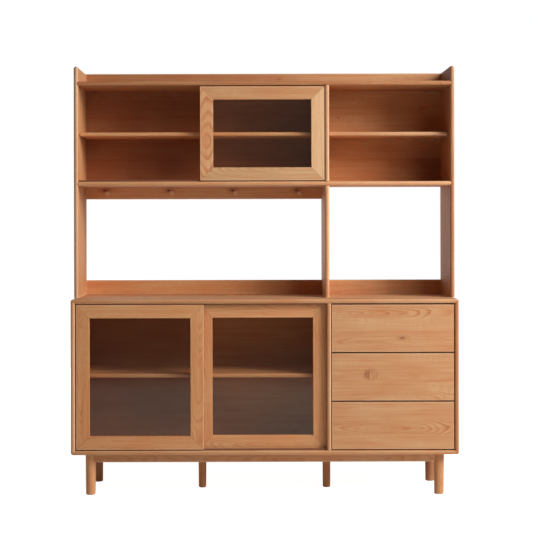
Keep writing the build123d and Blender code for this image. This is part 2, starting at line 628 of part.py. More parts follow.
upper_track = track(HUTCH_INNER_LEFT, DIVIDER_LEFT, UPPER_DOOR_Y, CUPBOARD_FLOOR)
lower_board -= upper_track
top_board -= channel_space(HUTCH_INNER_LEFT, DIVIDER_LEFT, UPPER_DOOR_Y, CUPBOARD_CEILING)
pieces["hutch_door_tracks"] = together([upper_track, channel(
    HUTCH_INNER_LEFT, DIVIDER_LEFT, UPPER_DOOR_Y, CUPBOARD_CEILING)])

upper_shelf_y = HUTCH_FRONT + UPPER_SHELF_SETBACK
upper_shelf_under = CUPBOARD_FLOOR + UPPER_SHELF_RISE
for name, x0, x1 in (("left", HUTCH_INNER_LEFT, DIVIDER_LEFT),
                     ("right", DIVIDER_RIGHT, HUTCH_INNER_RIGHT)):
    pieces["hutch_shelf_" + name] = loose_shelf(x0, x1, upper_shelf_y, upper_shelf_under + SHELF)
    for spot in support_points(x0, x1, upper_shelf_y, upper_shelf_under):
        supports.append(support(*spot))
        side_left -= support_pin(*spot, PIN_CLEARANCE)
        side_right -= support_pin(*spot, PIN_CLEARANCE)
        upper_divider -= support_pin(*spot, PIN_CLEARANCE)
pieces["shelf_supports"] = together(supports)

dowels = []
for x in (CASE_LEFT + BOARD / 2, DIVIDER_X, CASE_RIGHT - BOARD / 2):
    for spot in dowel_points(x):
        dowels.append(dowel(*spot))
        # the outer dowels pass through the mitre, so they are bored in both of its boards
        top -= dowel(*spot, PIN_CLEARANCE)
        left -= dowel(*spot, PIN_CLEARANCE)
        right -= dowel(*spot, PIN_CLEARANCE)
        side_left -= dowel(*spot, PIN_CLEARANCE)
        side_right -= dowel(*spot, PIN_CLEARANCE)
        niche_divider -= dowel(*spot, PIN_CLEARANCE)
pieces["hutch_dowels"] = together(dowels)

pieces["worktop"] = top
pieces["case_bottom"] = bottom
pieces["case_side_left"] = left
pieces["case_side_right"] = right
pieces["case_divider"] = divider
pieces["hutch_side_left"] = side_left
pieces["hutch_side_right"] = side_right
pieces["hutch_lower_board"] = lower_board
pieces["hutch_top_board"] = top_board
pieces["hutch_divider"] = upper_divider
pieces["niche_divider"] = niche_divider
pieces["backsplash"] = backsplash
pieces["gallery_rail"] = rail_board(HUTCH_INNER_LEFT, HUTCH_INNER_RIGHT, TOP_BOARD, RAIL_TOP)
pieces["peg_rail"], pieces["pegs"] = pegs_and_rail()

doors = {
    "door_left": door(CASE_INNER_LEFT + DOOR_LEFT_GAP, BASE_DOOR_WIDTH, FRONT_DOOR_Y,
                      CASE_FLOOR, CASE_CEILING),
    "door_right": door(DIVIDER_LEFT - DOOR_RIGHT_GAP - BASE_DOOR_WIDTH, BASE_DOOR_WIDTH,
                       REAR_DOOR_Y, CASE_FLOOR, CASE_CEILING),
    "hutch_door": door(DIVIDER_LEFT - UPPER_DOOR_GAP - UPPER_DOOR_WIDTH, UPPER_DOOR_WIDTH,
                       UPPER_DOOR_Y, CUPBOARD_FLOOR, CUPBOARD_CEILING),
}
drawers = {f"drawer_{k + 1}": drawer(floor) for k, floor in enumerate(drawer_floors())}
for group in (doors, drawers):
    for owner, members in group.items():
        for member, shape in members.items():
            pieces[f"{owner}_{member}"] = shape

for name, shape in pieces.items():
    shape.label = name
    export_step(shape, f"parts/{name}.step")
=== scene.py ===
import math
import random
from collections import namedtuple

import bpy
from mathutils import Euler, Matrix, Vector


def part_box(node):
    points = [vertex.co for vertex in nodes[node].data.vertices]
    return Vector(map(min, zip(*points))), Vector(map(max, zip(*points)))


# Looks of the kitchen cabinet: cherry boards, smoked panes, a pale studio and the camera.
# Everything is in metres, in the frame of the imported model.
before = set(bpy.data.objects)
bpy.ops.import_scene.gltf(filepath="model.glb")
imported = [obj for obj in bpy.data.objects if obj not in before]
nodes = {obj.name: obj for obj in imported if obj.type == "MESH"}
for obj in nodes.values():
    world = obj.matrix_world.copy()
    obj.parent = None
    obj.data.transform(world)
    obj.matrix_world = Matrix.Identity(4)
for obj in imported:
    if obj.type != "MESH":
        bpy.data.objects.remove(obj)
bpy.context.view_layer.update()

AXES = {"X": 0, "Y": 1, "Z": 2}
FRAME_WIDTH = 0.055             # stiles and rails of the doors
# seeds of nodes that come in rows
LEG_SEED = 45
MEMBER_SEED = 61
FRAME_SEED = 67
FRONT_SEED = 90
BOX_SEED = 101

# ---- tones of the cherry, as written in sRGB; some carry painted light or shade ----
HONEY = (207, 150, 103)         # most boards, drawer fronts
GOLD = (219, 154, 102)          # base doors, backsplash, middle legs
PALE = (223, 164, 116)          # left side of the case, upper door's stiles, front apron
AMBER = (203, 142, 93)          # worktop, case bottom, back panels
RUSSET = (186, 124, 80)         # top board, gallery rail, right side of the case
SHADED = (178, 124, 84)         # right side of the upper cabinet
SHADED_LEG = (169, 115, 78)      # right back leg, darkened as painted shade
SHADED_BACK = (165, 103, 64)          # painted shade on the left parts of the back panels
LIT_PALE = (234, 174, 122)       # painted light on the peg rail and on the right end of the left shelf, behind the pane
LIT_PEG_TONE = (240, 198, 156)        # pegs, pale as painted light on their faces
INSIDE = (222, 188, 144)        # drawer boxes and dowels
WEAR_AND_HIGHLIGHT = (232, 188, 148)          # rubbed edges, partly painted highlight where the edges catch the light
KNOT = (150, 76, 40)            # knots and rippled grain
SHADE_AND_GLUE = (100, 46, 24)           # painted shade patches, painted peg shadows, and glue lines
GAP_SHADE = (96, 34, 28)            # painted shade in the gaps round drawer fronts and door frames
# against the tone of a board, linear: late wood, and the darkest and lightest streaks
LATE_WOOD = (0.78, 0.50, 0.36, 1.0)
DARK_STREAK = (0.86, 0.46, 0.20, 1.0)
LIGHT_STREAK = (1.14, 1.54, 1.80, 1.0)

# ---- figure of the cherry ----
# its noises: scales for each metre along the grain, across it and into the board
Grain = namedtuple("Grain", "along across deep detail roughness", defaults=(2.0, 0.5))
SWAY = Grain(2.6, 7.0, 7.0)                     # slow drift of the rings
WAVER = Grain(16.0, 40.0, 40.0, 3.0)            # their small waves
STRENGTH = Grain(3.4, 12.0, 1.0)                # where the rings are strong or faint
FIBRES = Grain(16.0, 620.0, 620.0, 3.0, 0.6)
STREAKS = Grain(2.4, 70.0, 70.0, 4.0, 0.75)
CLOUDS = Grain(4.5, 13.0, 13.0, 3.0)
CROSS_CURL = Grain(75.0, 17.0, 17.0)
FLECKS = Grain(34.0, 150.0, 150.0)
STAVE_SHIFT = 31.0              # these two keep the noises of staves and boards apart
BOARD_SHIFT = 3.7
# sizes
SWAY_REACH = 0.045              # how far the rings drift
WAVER_ASIDE = 0.004             # how far they wave, across the grain and outward
WAVER_OUT = 0.0035
GLUE_LINE = (0.0004, 0.0011)    # full and last trace of a glue line, from its middle
GAP_SHADE_WIDTH = 0.0012
GAP_SHADE_FADE = 0.001
WHOLE = 1.0                     # deeper than any board
MITRE_SLACK = 0.001             # to have all of a mitre within the members' width
# reaches from the middle, each where a mark is full and where it ends
SPOT_REACH = (0.1, 1.3)         # knots and painted peg shadows, in their radii
HALO_REACH = (0.8, 3.2)
BEND_REACH = (0.0, 3.0)
FLECK_REACH = (0.04, 0.2)       # in cells
RIPPLE_REACH = (0.5, 1.2)       # in the reach of the patch
# values of the noises between which something comes up
STRONG_RINGS = (0.32, 0.66)
CURLED = (0.5, 0.72)
WEAR_AND_HIGHLIGHT_NOISE = (0.25, 0.6)
FINGERS = (0.35, 0.6)
# shares
LATE = (0.4, 0.93)              # of a ring's width: late wood grows from here to there
FAINTEST_YEAR = 0.25            # of the strength of the strongest year
FAINTEST_PLACE = 0.3            # of the strength of the rings where they are strongest
LEAST_WEAR_AND_HIGHLIGHT = 0.5              # of the wear and painted highlight on the edges where they are strongest
RING_SHARE = 0.95
FLECK_SHARE = 0.38
BARE_CELLS = 0.86               # of the cells for flecks
FIBRE_SHARE = 0.3
STREAK_SHARE = 0.9
CLOUD_SHARE = 0.5
CURL_SHARE = 0.5
TINT_SHARE = 0.06
WEAR_AND_HIGHLIGHT_SHARE = 0.65
GAP_SHADE_SHARE = 0.8
GLUE_SHARE = 0.55
SPOT_SHARE = 0.6                # middle of a knot and of a painted peg shadow
HALO_SHARE = 0.2                # round a knot and round a painted peg shadow
RIPPLE_SHARE = 0.6
SPOT_STRETCH = 2.0              # knots and painted peg shadows are longer along the grain
SPOT_BEND = 1.4                 # how far rings bend round a knot and a painted peg shadow, in its radii
SHADE_PATCH_BLUR = 0.5                # how uneven the rim of a painted shade patch is, against its reach
# surface
FIBRE_ROUGH = 0.22
WEAR_AND_HIGHLIGHT_ROUGH = -0.07
LATE_HEIGHT = -0.3              # against the fibres
RELIEF = (0.22, 0.0004)         # strength and height in metres
CHERRY_IOR = 1.46
CHERRY_SPECULAR = 0.4

# ---- the other materials ----
WHITE = (1.0, 1.0, 1.0, 1.0)
FINE = (3.0, 0.6)               # detail and roughness of the fine noises
TRACK = (150, 94, 60)
NYLON = (124, 84, 58)
FELT = (64, 54, 48)
PLAIN_RELIEF = (0.15, 0.0002)
PLAIN_ROUGH = 0.15              # how much the roughness varies
SOFTER = 15                     # the soft patches are this many times coarser than the grain
STEEL = (196, 198, 200)
STEEL_CLOUD = (168, 168, 166)
STEEL_DRAWN = (900.0, 12.0, 900.0)      # scales of its noises along X, Y and Z
STEEL_PATCHES = (60.0, 30.0, 60.0)
STEEL_RELIEF = (0.1, 0.0001)
STEEL_ROUGH = 0.2
DRAWN_ROUGH = 0.2               # how much the two noises add to it
PATCHES_ROUGH = 0.12
PANE = (252, 249, 245)          # what one face of a pane lets through
PANE_SMEAR = (250, 246, 241)    # the same where it is smeared
PANE_MIRROR = (252, 244, 226)
PANE_FILM = (214, 160, 108)     # a thin veil of dust
FILM_SHARE = 0.007
PANE_IOR = 1.5
SMEARS = 9.0                    # scale of the smears on a pane
SMEAR_ROUGH = 0.03

# ---- studio ----
FLOOR_SIZE = 60.0
FLOOR_TONE = (0.8, 0.8, 0.8, 1.0)
SHADOW_REACH = (0.9, 2.4)       # the floor's own glow grows to white over these distances
SHADOW_LIFT = 0.9               # glow under the cabinet, where 1 is white
FLOOR_FADE = (-4.4, -3.4)       # Y over which the floor grows pale for the panes' mirrors
FLOOR_MIRRORED = 0.55
ROOM_MIRRORED = 0.3
WORLD_FILL = 0.055              # light of the world on the object, where 1 is white
AIM = Vector((0.0, 0.0, 1.0))   # the lamps look at it
LAMPS = (
    # name, place, size, watts
    ("key", (3.9, -2.2, 2.8), 2.4, 199.0),
    ("high", (2.6, -2.9, 3.6), 2.4, 75.0),
    ("back", (-2.0, 4.0, 1.7), 3.0, 32.0),
    ("left", (-4.5, 1.0, 1.3), 1.2, 20.0),
)

# ---- camera, fitted to the photo: the first three are in its pixels ----
IMAGE = 533
FOCAL = 1310.7
PRINCIPAL = (249.64, 218.35)
SENSOR = 36.0
EYE = (-0.061, -5.595, 1.1477)
ROLL = 0.0022
CLIP_END = 100.0                # beyond the far edge of the floor


def rgb(red, green, blue):
    """Linear colour of an sRGB value from 0 to 255."""
    def linear(value):
        share = value / 255
        return share / 12.92 if share <= 0.04045 else ((share + 0.055) / 1.055) ** 2.4
    return (linear(red), linear(green), linear(blue), 1.0)


def dress(node, material):
    """Give a CAD node its material."""
    mesh = nodes[node].data
    mesh.materials.clear()
    mesh.materials.append(material)


# ---- node trees ----
class Tree:
    """Nodes of a material or world. Each call adds nodes and returns an output."""

    def __init__(self, owner):
        owner.use_nodes = True
        self.owner = owner
        self.node_tree = owner.node_tree
        self.node_tree.nodes.clear()

    def add(self, kind, inputs=(), output=0, **settings):
        """New shader node. inputs is a dict from socket name or number to a value or an output."""
        node = self.node_tree.nodes.new("ShaderNode" + kind)
        for key, value in settings.items():
            setattr(node, key, value)
        for key, value in dict(inputs).items():
            if isinstance(value, bpy.types.NodeSocket):
                self.node_tree.links.new(value, node.inputs[key])
            else:
                node.inputs[key].default_value = value
        return node.outputs[output]

    def end(self, shader, kind="OutputMaterial"):
        """Wire a shader to the output of the tree."""
        last = self.node_tree.nodes.new("ShaderNode" + kind)
        self.node_tree.links.new(shader, last.inputs[0])

    def math(self, operation, *values):
        """Math node."""
        return self.add("Math", dict(enumerate(values)), operation=operation)

    def chain(self, operation, *values):
        """One number out of many, with one more math node for each."""
        result = values[0]
        for value in values[1:]:
            result = self.math(operation, result, value)
        return result

    def product(self, *values):
        """Numbers multiplied."""
        return self.chain("MULTIPLY", *values)

    def total(self, *values):
        """Numbers added."""
        return self.chain("ADD", *values)

    def minus(self, first, second):
        """Difference of two numbers."""
        return self.math("SUBTRACT", first, second)

    def around(self, value, size):
        """A noise value from 0 to 1, turned into one from -size/2 to size/2."""
        return self.product(self.minus(value, 0.5), size)

    def span(self, value, low, high, to_low=0.0, to_high=1.0, smooth=True):
        """Map a range to another one and clamp it."""
        return self.add("MapRange", {"Value": value, "From Min": low, "From Max": high,
                                     "To Min": to_low, "To Max": to_high},
                        interpolation_type="SMOOTHSTEP" if smooth else "LINEAR")

    def place(self):
        """Place of the shaded point in the object's frame, which is that of the model."""
        return self.add("TexCoord", {}, "Object")

    def join(self, x, y, z):
        """Vector of three numbers."""
        return self.add("CombineXYZ", {0: x, 1: y, 2: z})

    def split(self, vector):
        """The three numbers of a vector."""
        first = self.add("SeparateXYZ", {0: vector})
        return [first, first.node.outputs[1], first.node.outputs[2]]

    def noise(self, vector, detail=2.0, roughness=0.5):
        """Noise from 0 to 1."""
        return self.add("TexNoise", {"Vector": vector, "Scale": 1.0, "Detail": detail,
                                     "Roughness": roughness})

    def axis_noise(self, scales, detail=2.0, roughness=0.5):
        """Noise from 0 to 1 with a scale for each axis."""
        vector = self.add("VectorMath", {0: self.place(), 1: scales}, operation="MULTIPLY")
        return self.noise(vector, detail, roughness)

    def even_noise(self, scale, detail=2.0, roughness=0.5):
        """Noise from 0 to 1 that is as fine in all directions."""
        return self.axis_noise((scale, scale, scale), detail, roughness)

    def mix(self, share, first, second, blend="MIX"):
        """Blend of two colours."""
        return self.add("Mix", {0: share, 6: first, 7: second}, 2, data_type="RGBA",
                        blend_type=blend, clamp_result=False)

    def bump(self, height, strength, distance):
        """Normal of an uneven surface."""
        return self.add("Bump", {"Strength": strength, "Distance": distance, "Height": height})


# ---- cherry ----
# One glued stave of a board. The rings are cones around the pith, which lies behind the face:
# start: lower edge across the grain; centre: the pith across the grain; depth: the pith behind
# the middle of the board; slope: how fast it goes deeper away from eye, a place along the grain;
# ring: width of a year ring; marked: strength of the rings; tint: -1 darker, 1 lighter.
Stave = namedtuple("Stave", "start centre depth slope eye ring marked tint")
# the numbers of a stave as two colours, and what each can be, to keep it in a ramp's 0 to 1
STAVE_COLOURS = (("centre", "depth", "slope", "tint"), ("eye", "ring", "marked", None))
LIMITS = {"centre": (-0.3, 0.3), "depth": (0.0, 0.15), "slope": (-0.5, 0.5), "tint": (-5.0, 5.0),
          "eye": (-2.0, 2.0), "ring": (0.0, 0.02), "marked": (0.0, 2.0)}
# what lies on a board, by its place along and across the grain
# a dark spot is a knot, and on the peg rail a painted shadow
Knot = namedtuple("Knot", "along across radius")
Ripple = namedtuple("Ripple", "along across reach_along reach_across")
# a patch of painted shade, darkest in its middle by its share
ShadePatch = namedtuple("ShadePatch", "along across reach_along reach_across share")
# a board goes over into another tone between two places along the grain
Change = namedtuple("Change", "start end tone")


def random_staves(low, high, width, seed):
    """Staves of about one width from low to high across the grain."""
    rng = random.Random(seed)
    count = max(1, round((high - low) / width))
    width = (high - low) / count
    staves = []
    for k in range(count):
        start = low + width * (k + (rng.uniform(-0.15, 0.15) if k else 0.0))
        staves.append(Stave(start=start,
                            centre=start + width * rng.uniform(-0.4, 1.4),
                            depth=rng.uniform(0.012, 0.07),
                            slope=rng.choice((-1, 1)) * rng.uniform(0.01, 0.12),
                            eye=rng.uniform(-1.2, 1.2),
                            ring=rng.uniform(0.004, 0.0065),
                            marked=rng.uniform(0.35, 0.9),
                            tint=rng.uniform(-1.0, 1.0)))
    return staves


def member_staves(node, across, seed):
    """One stave for each of the two members of a node, with the pith beside it: straight grain."""
    rng = random.Random(seed)
    low, high = [corner[AXES[across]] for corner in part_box(node)]
    staves = []
    for start, end, outward in ((low, low, -1), ((low + high) / 2, high, 1)):
        staves.append(Stave(start=start,
                            centre=end + outward * rng.uniform(-0.06, 0.03),
                            depth=0.03 * rng.uniform(0.5, 1.4),
                            slope=rng.choice((-1, 1)) * rng.uniform(0.03, 0.12),
                            eye=rng.uniform(-0.8, 0.8),
                            ring=rng.uniform(0.004, 0.006),
                            marked=rng.uniform(0.7, 1.1),
                            tint=rng.uniform(-0.6, 0.6)))
    return staves


class Wood(Tree):
    """Material of one board. It knows the places on the board and the numbers of its staves."""

    def __init__(self, node, along, across, seed, staves, stave_width):
        super().__init__(bpy.data.materials.new("cherry_" + node))
        self.low, self.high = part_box(node)
        self.axes = (AXES[along], AXES[across])
        behind = ({0, 1, 2} - set(self.axes)).pop()
        self.places = self.split(self.place())
        self.along, self.across = [self.places[axis] for axis in self.axes]
        self.middle = [(self.low[axis] + self.high[axis]) / 2 for axis in self.axes]
        self.length = self.minus(self.along, self.middle[0])
        self.depth = self.minus(self.places[behind], self.low[behind])
        least = self.low[AXES[across]]
        most = self.high[AXES[across]]
        staves = staves or random_staves(least, most, stave_width, seed)
        self.stave = self.read_staves(staves, least, most)
        self.shift = self.math("MULTIPLY_ADD", self.stave["centre"], STAVE_SHIFT, seed * BOARD_SHIFT)

    def read_staves(self, staves, low, high):
        """Numbers of the stave at a place across the grain, out of two stepped colour ramps."""
        share = self.span(self.across, low, high, smooth=False)
        outputs = {}
        for fields in STAVE_COLOURS:
            ramp = self.add("ValToRGB", {0: share})
            band = ramp.node.color_ramp
            band.interpolation = "CONSTANT"
            band.elements.remove(band.elements[-1])
            for k, stave in enumerate(staves):
                place = max(0.0, (stave.start - low) / (high - low)) if k else 0.0
                stop = band.elements.new(place) if k else band.elements[0]
                stop.position = place
                stop.color = [self.stave_number(stave, field) for field in fields]
            channels = [self.add("SeparateColor", {0: ramp}, k) for k in range(3)]
            channels.append(ramp.node.outputs[1])
            for field, channel in zip(fields, channels):
                if field:
                    outputs[field] = self.span(channel, 0.0, 1.0, *LIMITS[field], smooth=False)
        return outputs

    def stave_number(self, stave, field):
        """A number of a stave as a share of its limits. The centre is taken from the middle."""
        if field is None:
            return 0.0
        number = getattr(stave, field)
        if field == "centre":
            number -= self.middle[1]
        least, most = LIMITS[field]
        return (number - least) / (most - least)

    def stretched(self, grain):
        """Place on the board at the scales of a noise."""
        return self.join(self.math("MULTIPLY_ADD", self.length, grain.along, self.shift),
                         self.product(self.across, grain.across), self.product(self.depth, grain.deep))

    def grain(self, grain):
        """Noise from 0 to 1 that follows the grain."""
        return self.noise(self.stretched(grain), grain.detail, grain.roughness)

    def inset(self, axis, low, high):
        """Distance inwards from the nearer side of a box."""
        return self.math("MINIMUM", self.minus(self.places[axis], low[axis]),
                         self.minus(high[axis], self.places[axis]))

    def edge_distance(self):
        """Distance to the nearest edge of the board's box: the middle one of three insets."""
        x, y, z = [self.inset(axis, self.low, self.high) for axis in range(3)]
        return self.math("MAXIMUM", self.math("MINIMUM", x, y),
                         self.math("MINIMUM", z, self.math("MAXIMUM", x, y)))

    def oval(self, along, across, reach_along, reach_across):
        """Distance from a place on the board: 1 at the given reaches along and across the grain."""
        x = self.math("DIVIDE", self.minus(self.along, along), reach_along)
        y = self.math("DIVIDE", self.minus(self.across, across), reach_across)
        return self.math("SQRT", self.total(self.product(x, x), self.product(y, y)))

    def late_wood(self, bends):
        """Late wood of the year rings, from 0 to 1. bends push the rings outward."""
        stave = self.stave
        away = self.minus(self.math("ABSOLUTE", self.minus(self.length, stave["eye"])),
                          self.math("ABSOLUTE", stave["eye"]))
        waver = self.grain(WAVER)
        down = self.total(self.math("MULTIPLY_ADD", away, stave["slope"], stave["depth"]),
                          self.depth, self.around(self.grain(SWAY), SWAY_REACH))
        aside = self.total(self.minus(self.across, self.total(stave["centre"], self.middle[1])),
                           self.around(waver, WAVER_ASIDE))
        radius = self.math("SQRT", self.total(self.product(down, down), self.product(aside, aside)))
        radius = self.total(radius, self.around(waver, WAVER_OUT), *bends)
        turns = self.math("DIVIDE", radius, stave["ring"])
        turn = self.math("FRACT", turns)
        year = self.add("TexWhiteNoise", {"W": self.total(self.math("FLOOR", turns), self.shift)},
                        noise_dimensions="1D")
        return self.product(self.span(turn, *LATE), self.span(turn, LATE[1], 1.0, 1.0, 0.0),
                            self.span(year, 0.0, 1.0, FAINTEST_YEAR, 1.0, smooth=False))

    def gum_flecks(self):
        """1 in small flecks, each in one of a few chosen cells."""
        cell = self.add("TexVoronoi", {"Vector": self.stretched(FLECKS), "Scale": 1.0})
        draw = self.add("SeparateColor", {0: cell.node.outputs[1]})
        return self.product(self.span(cell, *FLECK_REACH, 1.0, 0.0),
                            self.math("GREATER_THAN", draw, BARE_CELLS))

    def front_edges(self, start):
        """1 on the outer edges of a front, from a depth behind its face: where the shade of the gaps
        round it is painted.
        """
        inset = self.math("MINIMUM", *[self.inset(axis, self.low, self.high) for axis in self.axes])
        return self.product(self.math("LESS_THAN", inset, GAP_SHADE_WIDTH),
                            self.span(self.depth, start - GAP_SHADE_FADE, start + GAP_SHADE_FADE))

    def glue_lines(self, box, reach):
        """1 on the glue lines of a frame that is mitred in X and Z, with members of a given width."""
        aside, up = [self.inset(axis, *box) for axis in (0, 2)]
        off = self.math("ABSOLUTE", self.minus(aside, up))
        return self.product(self.span(off, *GLUE_LINE, 1.0, 0.0),
                            self.math("LESS_THAN", aside, reach), self.math("LESS_THAN", up, reach))


def board(node, along, across, seed, base=HONEY, staves=None, stave_width=0.09, figure=1.0, knots=(),
          spot_tone=KNOT, shade_patches=(), ripple=None, mitre=None, change=None, inner=WHOLE, gap_shade_from=None,
          wear_and_highlight_reach=0.007, rough=0.58):
    """Dress one CAD node in solid cherry. along is the grain's axis, across the axis over which
    staves are glued, base the tone, figure the strength of the rings. Rings bend round the dark
    spots, which are knots, and on the peg rail painted shadows, and have the tone spot_tone. A
    ripple is a patch of short dark lines across the grain. shade_patches, which are painted
    shade, and a change of tone go as deep as inner, so that they stay off the back of a panel.
    mitre is the box of a mitred frame and the width of its members. gap_shade_from is the depth
    behind the face from which the edges of a front are darkened with painted shade of the gaps
    round it, wear_and_highlight_reach how far the pale edges reach, which are rubbed and partly
    painted highlight, and rough the roughness."""
    wood = Wood(node, along, across, seed, staves, stave_width)
    spots = []
    bends = []
    for dark_spot in knots:
        far = wood.oval(dark_spot.along, dark_spot.across, dark_spot.radius * SPOT_STRETCH, dark_spot.radius)
        spots.append(wood.total(wood.span(far, *SPOT_REACH, SPOT_SHARE, 0.0),
                                wood.span(far, *HALO_REACH, HALO_SHARE, 0.0)))
        bends.append(wood.span(far, *BEND_REACH, dark_spot.radius * SPOT_BEND, 0.0))
    late = wood.late_wood(bends)
    fibre = wood.grain(FIBRES)
    streak = wood.grain(STREAKS)
    cloud = wood.grain(CLOUDS)
    cross = wood.grain(CROSS_CURL)
    near_face = wood.math("LESS_THAN", wood.depth, inner)

    # the board's tone, its rings and its flecks
    tone = rgb(*base)
    if change:
        past = wood.product(wood.span(wood.along, change.start, change.end), near_face)
        tone = wood.mix(past, tone, rgb(*change.tone))
    strength = wood.span(wood.grain(STRENGTH), *STRONG_RINGS, FAINTEST_PLACE, 1.0)
    rings = wood.product(late, wood.stave["marked"], RING_SHARE * figure, strength)
    marks = wood.total(rings, wood.product(wood.gum_flecks(), FLECK_SHARE))
    colour = wood.mix(marks, tone, wood.mix(1.0, tone, LATE_WOOD, "MULTIPLY"))

    # its fibres, streaks, clouds and curl, and the tint of each stave
    curl = wood.product(wood.around(cross, CURL_SHARE), wood.span(cloud, *CURLED))
    light = wood.total(wood.around(fibre, FIBRE_SHARE), wood.around(streak, STREAK_SHARE),
                       wood.around(cloud, CLOUD_SHARE), curl,
                       wood.product(wood.stave["tint"], TINT_SHARE), 0.5)
    colour = wood.mix(1.0, colour, wood.mix(light, DARK_STREAK, LIGHT_STREAK), "MULTIPLY")

    # rubbed edges that are partly painted highlight, painted shade in the gaps round fronts, patches
    # of painted shade, rippled grain, knots and painted peg shadows, and glue lines
    wear_and_highlight = wood.product(wood.span(wood.edge_distance(), 0.0, wear_and_highlight_reach, 1.0, 0.0),
                        wood.span(cloud, *WEAR_AND_HIGHLIGHT_NOISE, LEAST_WEAR_AND_HIGHLIGHT, 1.0))
    colour = wood.mix(wood.product(wear_and_highlight, WEAR_AND_HIGHLIGHT_SHARE), colour, rgb(*WEAR_AND_HIGHLIGHT))
    if gap_shade_from is not None:
        gap_shade = wood.product(wood.front_edges(gap_shade_from), GAP_SHADE_SHARE)
        colour = wood.mix(gap_shade, colour, rgb(*GAP_SHADE))
    for shade_patch in shade_patches:
        far = wood.oval(shade_patch.along, shade_patch.across, shade_patch.reach_along, shade_patch.reach_across)
        far = wood.total(far, wood.around(cloud, SHADE_PATCH_BLUR))
        dark = wood.product(wood.span(far, 0.0, 1.0, shade_patch.share, 0.0), near_face)
        colour = wood.mix(dark, colour, rgb(*SHADE_AND_GLUE))
    if ripple:
        far = wood.oval(*ripple)
        fingers = wood.product(wood.span(far, *RIPPLE_REACH, RIPPLE_SHARE, 0.0),
                               wood.span(cross, *FINGERS))
        colour = wood.mix(fingers, colour, rgb(*KNOT))
    if spots:
        colour = wood.mix(wood.chain("MAXIMUM", *spots), colour, rgb(*spot_tone))
    if mitre:
        glue = wood.product(wood.glue_lines(*mitre), GLUE_SHARE)
        colour = wood.mix(glue, colour, rgb(*SHADE_AND_GLUE))

    roughness = wood.total(wood.around(fibre, FIBRE_ROUGH),
                           wood.math("MULTIPLY_ADD", wear_and_highlight, WEAR_AND_HIGHLIGHT_ROUGH, rough))
    relief = wood.bump(wood.math("MULTIPLY_ADD", late, LATE_HEIGHT, fibre), *RELIEF)
    wood.end(wood.add("BsdfPrincipled", {"Base Color": colour, "Roughness": roughness,
                                         "Normal": relief, "IOR": CHERRY_IOR,
                                         "Specular IOR Level": CHERRY_SPECULAR}))
    dress(node, wood.owner)


# ---- the other materials ----
def plain(name, colour, rough, grain=300.0, shade=0.2):
    """Moulded or cloth finish with a fine uneven surface. shade is how much darker it gets."""
    tree = Tree(bpy.data.materials.new(name))
    uneven = tree.even_noise(grain, *FINE)
    soft = tree.even_noise(grain / SOFTER)
    share = tree.product(tree.total(soft, uneven), 0.5)
    dark = [channel * (1 - 2 * shade) for channel in colour]
    tone = tree.mix(share, rgb(*colour), rgb(*dark))
    tree.end(tree.add("BsdfPrincipled", {"Base Color": tone,
                                         "Normal": tree.bump(uneven, *PLAIN_RELIEF),
                                         "Roughness": tree.math("MULTIPLY_ADD", uneven,
                                                                PLAIN_ROUGH, rough)}))
    return tree.owner


def brushed_steel():
    """Zinc-plated sheet and rod, drawn along Y, with cloudy patches in the plating."""
    tree = Tree(bpy.data.materials.new("steel"))
    drawn = tree.axis_noise(STEEL_DRAWN, *FINE)
    patch = tree.axis_noise(STEEL_PATCHES, 3.0)
    tone = tree.mix(patch, rgb(*STEEL), rgb(*STEEL_CLOUD))
    rough = tree.total(tree.product(drawn, DRAWN_ROUGH), tree.product(patch, PATCHES_ROUGH),
                       STEEL_ROUGH)
    tree.end(tree.add("BsdfPrincipled", {"Base Color": tone, "Metallic": 1.0, "Roughness": rough,
                                         "Normal": tree.bump(drawn, *STEEL_RELIEF)}))
    return tree.owner


def smoked_glass():
    """Pane: what is behind it shows through a warm tint. Only its outer faces mirror."""
    tree = Tree(bpy.data.materials.new("smoked_glass"))
    smear = tree.even_noise(SMEARS, *FINE)
    clear = tree.add("BsdfTransparent", {"Color": tree.mix(smear, rgb(*PANE), rgb(*PANE_SMEAR))})
    mirror = tree.add("BsdfGlossy", {"Color": rgb(*PANE_MIRROR),
                                     "Roughness": tree.product(smear, SMEAR_ROUGH)})
    film = tree.add("BsdfDiffuse", {"Color": rgb(*PANE_FILM)})
    clear = tree.add("MixShader", {0: FILM_SHARE, 1: clear, 2: film})
    outer_face = tree.minus(1.0, tree.add("NewGeometry", {}, "Backfacing"))
    share = tree.product(tree.add("Fresnel", {"IOR": PANE_IOR}), outer_face)
    tree.end(tree.add("MixShader", {0: share, 1: clear, 2: mirror}))
    return tree.owner


# ---- the case ----
case_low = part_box("case_side_left")[0]
case_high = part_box("case_side_right")[1]
case_mitre = ((case_low, case_high), case_high[0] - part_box("case_side_right")[0][0] + MITRE_SLACK)
board("worktop", "X", "Y", 11, base=AMBER, stave_width=0.1, mitre=case_mitre,
      change=Change(-0.1, 0.5, HONEY))
board("case_bottom", "X", "Y", 12, base=AMBER, mitre=case_mitre)
# painted light and shade: the left side of the case is paler, with wide pale edges, and the right side
# darker, with narrow ones
board("case_side_left", "Z", "Y", 13, base=PALE, mitre=case_mitre, wear_and_highlight_reach=0.012)
board("case_side_right", "Z", "Y", 14, base=RUSSET, mitre=case_mitre, wear_and_highlight_reach=0.004)
board("case_divider", "Z", "Y", 15)
# painted shade: a dark patch on the left part of the shelf
board("base_shelf", "X", "Y", 16, shade_patches=[ShadePatch(-0.52, 0.05, 0.36, 0.3, 0.4)])
# painted shade: the back panels darken to the left, with a dark patch there
board("case_back_panels", "X", "Z", 17, base=AMBER, stave_width=0.11, figure=0.6, inner=0.006,
      change=Change(-0.15, -0.4, SHADED_BACK), shade_patches=[ShadePatch(-0.44, 0.3, 0.36, 0.24, 0.5)])
board("backsplash", "X", "Z", 18, stave_width=0.2, base=GOLD, change=Change(0.25, 0.27, HONEY))

